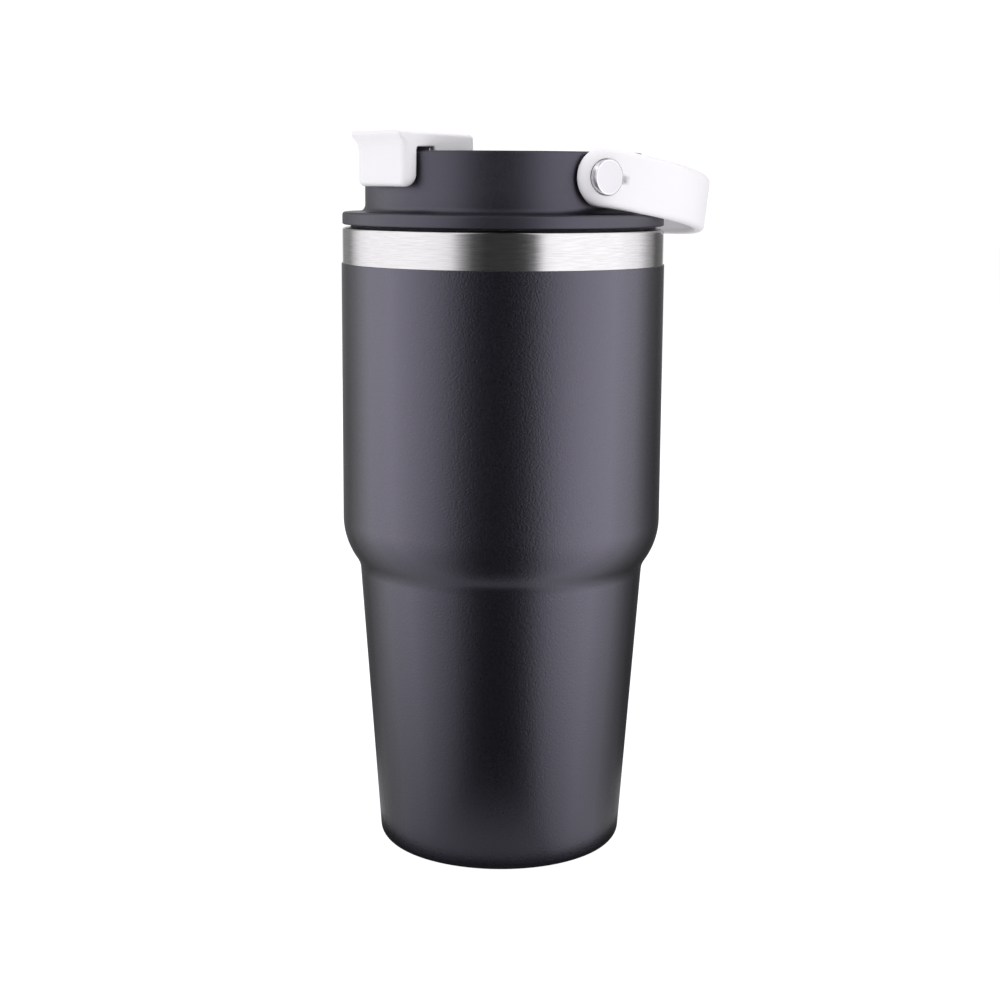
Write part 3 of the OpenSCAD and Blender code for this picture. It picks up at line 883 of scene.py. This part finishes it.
def make_handle(material):
    """Carry handle: one half skinned outside and inside, then mirrored, notched and drooped."""
    surface = HandleSurface()
    bm = bmesh.new()
    heights = strap_heights()
    along = [JOIN_S + (surface.length - JOIN_S) * k / STRAP_COUNT for k in range(STRAP_COUNT + 1)]
    edges = {}
    for outside in (True, False):
        grid = [[bm.verts.new(surface.point(s, v, outside)) for v in heights] for s in along]
        for a, b in zip(grid, grid[1:]):
            for k in range(len(heights) - 1):
                bm.faces.new((a[k], a[k + 1], b[k + 1], b[k]))
        rays = [ray_points(end) for end in eye_rays(heights)]
        fan = [[bm.verts.new(surface.point(s, v, outside)) for s, v in ray] for ray in rays]
        for i, ray in enumerate(fan):
            after = fan[(i + 1) % len(fan)]
            for k in range(len(ray) - 1):
                bm.faces.new((ray[k], after[k], after[k + 1], ray[k + 1]))
        edges[outside] = ([row[0] for row in grid], [row[-1] for row in grid],
                          [ray[-1] for ray in fan[len(heights) - 1:]] + [fan[0][-1]], [ray[0] for ray in fan])
    low_out, high_out, end_out, hole_out = edges[True]
    low_in, high_in, end_in, hole_in = edges[False]
    for a, b in ((low_out, low_in), (high_out, high_in), (end_out, end_in)):
        for k in range(len(a) - 1):
            bm.faces.new((a[k], a[k + 1], b[k + 1], b[k]))
    for k in range(len(hole_out)):
        m = (k + 1) % len(hole_out)
        bm.faces.new((hole_out[k], hole_out[m], hole_in[m], hole_in[k]))
    bmesh.ops.remove_doubles(bm, verts=bm.verts, dist=WELD)
    half = bpy.data.meshes.new("half")
    bm.to_mesh(half)
    bmesh.ops.scale(bm, vec=(-1, 1, 1), verts=bm.verts)
    bm.from_mesh(half)
    bpy.data.meshes.remove(half)
    bmesh.ops.remove_doubles(bm, verts=bm.verts, dist=WELD)
    droop = Matrix.Translation((0, 0, PIVOT_Z * MM)) @ Matrix.Rotation(-math.radians(DROOP), 4, "X")
    obj = finish_mesh("carry_loop", bm, material, 40)
    for side in (1, -1):
        scoop = bmesh.new()
        bmesh.ops.create_uvsphere(scoop, u_segments=48, v_segments=32, radius=NOTCH[2] * MM)
        bmesh.ops.translate(scoop, vec=(side * NOTCH[0] * MM, NOTCH[1] * MM, 0), verts=scoop.verts)
        cut(obj, scoop)
    obj.data.transform(droop)
    return place(obj, "carry_handle", "white_plastic", "handle")


# ---- Flip cap ----


def flip_outline():
    """The flip cap seen from the side: corners as (y, z, corner radius, side edge radius)."""
    tab_in = -math.sqrt(TAB_INNER_R**2 - FLIP_W**2)
    back_top = FLIP_TOP - FLIP_BACK_DROP
    return [
        (LIP_Y, FLIP_TOP, 0.5, 0.5),
        (-40.0, FLIP_TOP - 0.05, 0, 0.8),
        (-30.0, FLIP_TOP - 0.35, 0, 0.8),
        (FLIP_BACK_Y, back_top, 1.3, 0.8),
        (FLIP_BACK_Y, CHEEK_Z, 1.6, 0.5),
        (PIN_Y - 2.1, CHEEK_Z, 1.6, 0.5),
        (PIN_Y - 3.6, BRIDGE_Z - 2.5, 0.8, 0.5),
        (CHEEK_Y, BRIDGE_Z - 2.5, 0.6, 0.5),
        (CHEEK_Y, BRIDGE_Z, 0.5, 0.5),
        (tab_in, BRIDGE_Z, 0.8, 0.5),
        (tab_in, 209.0, 0, 0.6),
        (tab_in, TAB_Z, 2.6, 0.8),
        (TAB_Y, TAB_Z, 1.4, 1.2),
        (TAB_Y, 206.5, 0, 0.8),
        (TAB_Y, 212.5, 0, 0.8),
        (TAB_Y, 215.2, 2.6, 0.8),
        (LIP_Y, 217.6, 0.4, 0.45),
    ]


def inset_corners(corners, t):
    """Moves each corner in by its side edge's drop at an angle t round that edge."""
    points = [Vector(corner[:2]) for corner in corners]
    area = sum(p.x * q.y - q.x * p.y for p, q in zip(points, points[1:] + points[:1]))
    turn = 1 if area > 0 else -1
    out = []
    for i, (y, z, radius, edge) in enumerate(corners):
        before = (points[i] - points[i - 1]).normalized()
        after = (points[(i + 1) % len(points)] - points[i]).normalized()
        inset = edge * (1 - math.cos(t))
        inward = [turn * Vector((-way.y, way.x)) for way in (before, after)]
        move = (inward[0] + inward[1]) * (inset / (1 + inward[0].dot(inward[1])))
        outer_corner = turn * (before.x * after.y - before.y * after.x) > 0
        if radius > 0:
            radius = max(0.05, radius - inset) if outer_corner else radius + inset
        out.append((y + move.x, z + move.y, radius))
    return out


def soften_tab(inboard, y, z):
    """Rounds the tab's upright front edges and lower corners, at a distance in from the cap's side."""
    plan_r = TAB_PLAN_R + (LIP_PLAN_R - TAB_PLAN_R) * smooth_step((z - LIP_LOW_Z) / LIP_RISE)
    front = smooth_step((y - FRONT_Y) / (TAB_Y - FRONT_Y))
    low = smooth_step((TAB_CORNER_Z - z) / (TAB_CORNER_Z - TAB_Z)) if y < FRONT_Y + 3 else 0.0
    crown = TOP_CROWN * max(0.0, 1 - inboard / CROWN_REACH) ** 2 if z > FLIP_TOP - 2 else 0.0
    return y + round_over(inboard, plan_r) * front, z + round_over(inboard, TAB_CORNER_R) * low - crown


def make_flip(material):
    """Flip cap: its side outline swept across with rounded edges, hollowed and given knuckles and a post."""
    corners = flip_outline()
    edges = []
    for corner in corners:
        edges += [corner[3]] * (1 if corner[2] <= 0 else 7)
    bm = bmesh.new()
    rows = []
    sections = [(3.0 - 0.5 * k, 0.0) for k in range(6)] + [(0.0, math.radians(15 * k)) for k in range(7)]
    for side, order in ((-1, list(reversed(sections))), (1, sections)):
        for inboard, t in order:
            row = []
            for (y, z), edge in zip(rounded(inset_corners(corners, t), 6), edges):
                x = FLIP_W - inboard - edge * (1 - math.sin(t))
                y, z = soften_tab(FLIP_W - x, y, z)
                row.append(bm.verts.new((side * x * MM, y * MM, z * MM)))
            rows.append(row)
    join_rows(bm, rows)
    obj = finish_mesh("flip_tab", bm, material, 40)
    inner = FLIP_W - CHEEK_T
    cut(obj, box_bm((-inner, CHEEK_Y - 0.5, 200), (inner, FLIP_BACK_Y + 1, BRIDGE_Z)))
    bm = bmesh.new()
    bm.from_mesh(obj.data)
    bpy.data.meshes.remove(obj.data)
    knuckle = rounded([(1.4, FLIP_W - 3.0, 0.1), (2.0, FLIP_W - 3.0, 0.2), (2.0, FLIP_W - 0.4, 0.2),
                       (1.4, FLIP_W - 0.4, 0.1)], 3)
    for side in (1, -1):
        add_lathe_x(bm, knuckle, side, PIN_Z, PIN_Y, 48)
    post = [(0, BRIDGE_Z + 0.3), (POST_R, BRIDGE_Z + 0.3), (POST_R, 213.0), (0, 213.0)]
    add_lathe(bm, post, 48, SPOUT_Y)
    return place(finish_mesh("flip_tab", bm, material, 40), "flip", "white_plastic", "flip_cap")


def make_stopper(material):
    """Silicone stopper that plugs the spout."""
    outline = rounded([(0, STOPPER_LOW_Z, 0), (3.5, STOPPER_LOW_Z, 0.4), (4.05, STOPPER_NECK_Z, 0.1),
                       (STOPPER_R, STOPPER_NECK_Z, 0.3), (STOPPER_R, STOPPER_TOP, 0.5),
                       (0, STOPPER_TOP, 0)], 5)
    bm = bmesh.new()
    add_lathe(bm, outline, 96, SPOUT_Y)
    return place(finish_mesh("spout_stopper", bm, material), "flip", "clear_silicone", "flip_stopper")


# ---- Studio ----


def read_off(stops, at):
    """The value at a place between (place, value) stops."""
    for (low, a), (high, b) in zip(stops, stops[1:]):
        if at <= high:
            return a + (b - a) * (at - low) / (high - low)
    return stops[-1][1]


def add_glow(name, rings, sides, least=0.0):
    """A lit surface of (radius, height, share) rings round the mug, unseen by the camera.

    It follows the lights round the mug, and close to the foot it glows at least as much as given.
    """
    bm = bmesh.new()
    layer = bm.verts.layers.float.new("glow")
    rows = []
    for radius, height, share in rings:
        row = []
        for azimuth in range(-180, 180, 3):
            a = math.radians(CAMERA_AZIMUTH + azimuth)
            vert = bm.verts.new((radius * math.sin(a), -radius * math.cos(a), height))
            light = share * read_off(LIGHT_ROUND, azimuth) * read_off(sides, azimuth)
            vert[layer] = max(light, least if radius < FOOT_GLOW_R else 0.0)
            row.append(vert)
        rows.append(row)
    for low, high in zip(rows, rows[1:]):
        for k in range(len(low)):
            m = (k + 1) % len(low)
            bm.faces.new((low[k], low[m], high[m], high[k]))
    mesh = bpy.data.meshes.new(name)
    bm.to_mesh(mesh)
    bm.free()
    mesh.materials.append(glow_material(name))
    obj = bpy.data.objects.new(name, mesh)
    bpy.context.scene.collection.objects.link(obj)
    obj.visible_camera = False
    obj.visible_shadow = False
    return obj


def table_rings(shares):
    return [(radius, GLOW_Z, share) for radius, share in shares]


def make_studio():
    """White floor and surround, the lights the mug reflects, a soft lamp overhead and a dim room."""
    bpy.ops.mesh.primitive_plane_add(size=FLOOR_SIZE, location=(0, 0, -FLOOR_DROP))
    floor = bpy.context.object
    floor.name = "floor"
    floor.data.materials.append(floor_material())
    bpy.ops.mesh.primitive_uv_sphere_add(radius=DOME_R, segments=64, ring_count=32, location=(0, 0, 0))
    dome = bpy.context.object
    dome.name = "surround"
    dome.data.materials.append(glow_material("surround", DOME_GLOW))
    for obj in (floor, dome):
        obj.visible_glossy = False
        obj.visible_shadow = False
    dome.visible_diffuse = False
    near = add_glow("near_table_glow", table_rings(NEAR_SHARE), NEAR_SIDES, FOOT_GLOW)
    far = add_glow("far_table_glow", table_rings(FAR_SHARE), FAR_SIDES)
    for table in (near, far):
        table.visible_diffuse = False
    wall = add_glow("light_wall", WALL_RINGS, EVEN_SIDES)
    top = bpy.data.lights.new("top", "AREA")
    top.size = LAMP_SIZE
    top.energy = LAMP_POWER
    lamp = bpy.data.objects.new("top", top)
    lamp.location = (0, 0, LAMP_HEIGHT)
    bpy.context.scene.collection.objects.link(lamp)
    lamp.visible_glossy = False
    lamp.visible_camera = False
    world = bpy.data.worlds.new("room")
    world.use_nodes = True
    world.node_tree.nodes["Background"].inputs["Color"].default_value = ROOM_TINT
    world.node_tree.nodes["Background"].inputs["Strength"].default_value = ROOM_GLOW
    bpy.context.scene.world = world
    bpy.context.scene.view_settings.view_transform = "Standard"


def make_camera():
    """Camera at the measured distance, height and angles, turned to its azimuth round the mug."""
    a = math.radians(CAMERA_AZIMUTH)
    data = bpy.data.cameras.new("camera")
    data.lens = CAMERA_LENS
    data.sensor_width = 36
    data.clip_start = 0.01
    data.clip_end = 50
    camera = bpy.data.objects.new("camera", data)
    bpy.context.scene.collection.objects.link(camera)
    yaw, pitch, roll = CAMERA_YAW, CAMERA_PITCH, CAMERA_ROLL
    forward = Vector((math.sin(yaw) * math.cos(pitch), math.cos(yaw) * math.cos(pitch), -math.sin(pitch)))
    right = Vector((math.cos(yaw), -math.sin(yaw), 0))
    up = right.cross(forward)
    turned_right = right * math.cos(roll) - up * math.sin(roll)
    turned_up = right * math.sin(roll) + up * math.cos(roll)
    to_row = Matrix.Rotation(a, 3, "Z")
    axes = Matrix([to_row @ turned_right, to_row @ turned_up, to_row @ -forward]).transposed()
    place_at = to_row @ Vector((0, -CAMERA_DISTANCE, CAMERA_HEIGHT)) * MM
    camera.matrix_world = Matrix.Translation(place_at) @ axes.to_4x4()
    bpy.context.scene.camera = camera


def paint(nodes, name, material):
    """Gives a CAD node that stays as it is a better material."""
    obj = nodes[name]
    obj.data.materials.clear()
    obj.data.materials.append(material)


def main():
    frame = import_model()
    nodes = frame["nodes"]

    coat = coat_material()
    band = steel_material("band_steel", (0.63, 0.615, 0.63), 0.13, 0.000005)
    inner = steel_material("liner_steel", (0.5, 0.5, 0.5), 0.34, 0.00001)
    lid_low, lid_high = (0.005, 0.0048, 0.007), (0.008, 0.0077, 0.0105)
    black = plastic_material("lid_plastic", lid_low, lid_high, 0.4, 1.8, DARK_TINT)
    washer = plastic_material("washer_plastic", (0.012, 0.012, 0.014), (0.018, 0.018, 0.02), 0.5)
    white = plastic_material("white_plastic", (0.765, 0.75, 0.78), (0.79, 0.775, 0.805), 0.46, 1.45)
    rubber = rubber_material("black_silicone", (0.026, 0.025, 0.029), (0.036, 0.035, 0.04), 0.6)
    pale_rubber = rubber_material("clear_silicone", (0.66, 0.66, 0.67), (0.72, 0.72, 0.73), 0.5)
    button = turned_metal_material("cap_steel", (0.6, 0.585, 0.62), 0.3, (0.92, 0.9, 0.94))
    screw = turned_metal_material("screw_steel", (0.5, 0.5, 0.5), 0.35)
    brass = turned_metal_material("brass", (0.72, 0.53, 0.24), 0.35)
    bead = turned_metal_material("seal_bead", (0.4, 0.4, 0.4), 0.5)
    pill = plastic_material("getter_alloy", (0.16, 0.16, 0.16), (0.22, 0.22, 0.22), 0.7)

    make_coat(coat)
    make_shell(band)
    make_liner(inner)
    make_lid(black)
    make_gasket(rubber)
    make_caps(button)
    make_washers(washer)
    make_pin(screw)
    make_handle(white)
    make_flip(white)
    make_stopper(pale_rubber)

    for name, material in (
        ("shell_bottom", inner),
        ("bottom_cover", inner),
        ("getter_clip", inner),
        ("vacuum_seal", bead),
        ("getter", pill),
        ("lid_insert", black),
        ("pivot_inserts", brass),
        ("pivot_screws", screw),
        ("inner_washers", washer),
    ):
        paint(nodes, name, material)

    make_camera()
    make_studio()


main()
